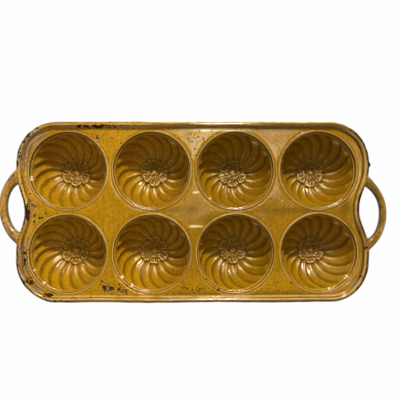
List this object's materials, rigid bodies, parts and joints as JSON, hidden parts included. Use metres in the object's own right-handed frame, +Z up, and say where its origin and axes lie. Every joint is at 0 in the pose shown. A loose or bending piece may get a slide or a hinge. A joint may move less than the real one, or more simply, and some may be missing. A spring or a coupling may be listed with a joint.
{
  "type": "mini bundt pan",
  "caption": "Oblong glazed stoneware baking pan with round swirl-ribbed cups, a rosette on each cup's floor, a raised rim and a loop handle at each end.",
  "frame": {"origin": "centre of the pan on the surface it stands on", "axes": "+X along the pan, from handle to handle, +Y to the back row of cups, +Z up out of the cups"},
  "size_m": [0.441, 0.2062, 0.0493],
  "materials": {
    "ochre_glaze": "glossy ochre lead-style glaze, darker where it pools in the ribs, with pits and specks",
    "worn_glaze": "thin tan glaze, worn at the edges"
  },
  "bodies": {
    "root": {"deck_slab": "ochre_glaze", "rim_coil": "worn_glaze", "handle_left": "worn_glaze", "handle_right": "worn_glaze", "cup_back_1": "ochre_glaze", "cup_back_2": "ochre_glaze", "cup_back_3": "ochre_glaze", "cup_back_4": "ochre_glaze", "cup_front_1": "ochre_glaze", "cup_front_2": "ochre_glaze", "cup_front_3": "ochre_glaze", "cup_front_4": "ochre_glaze"}
  },
  "joints": []
}
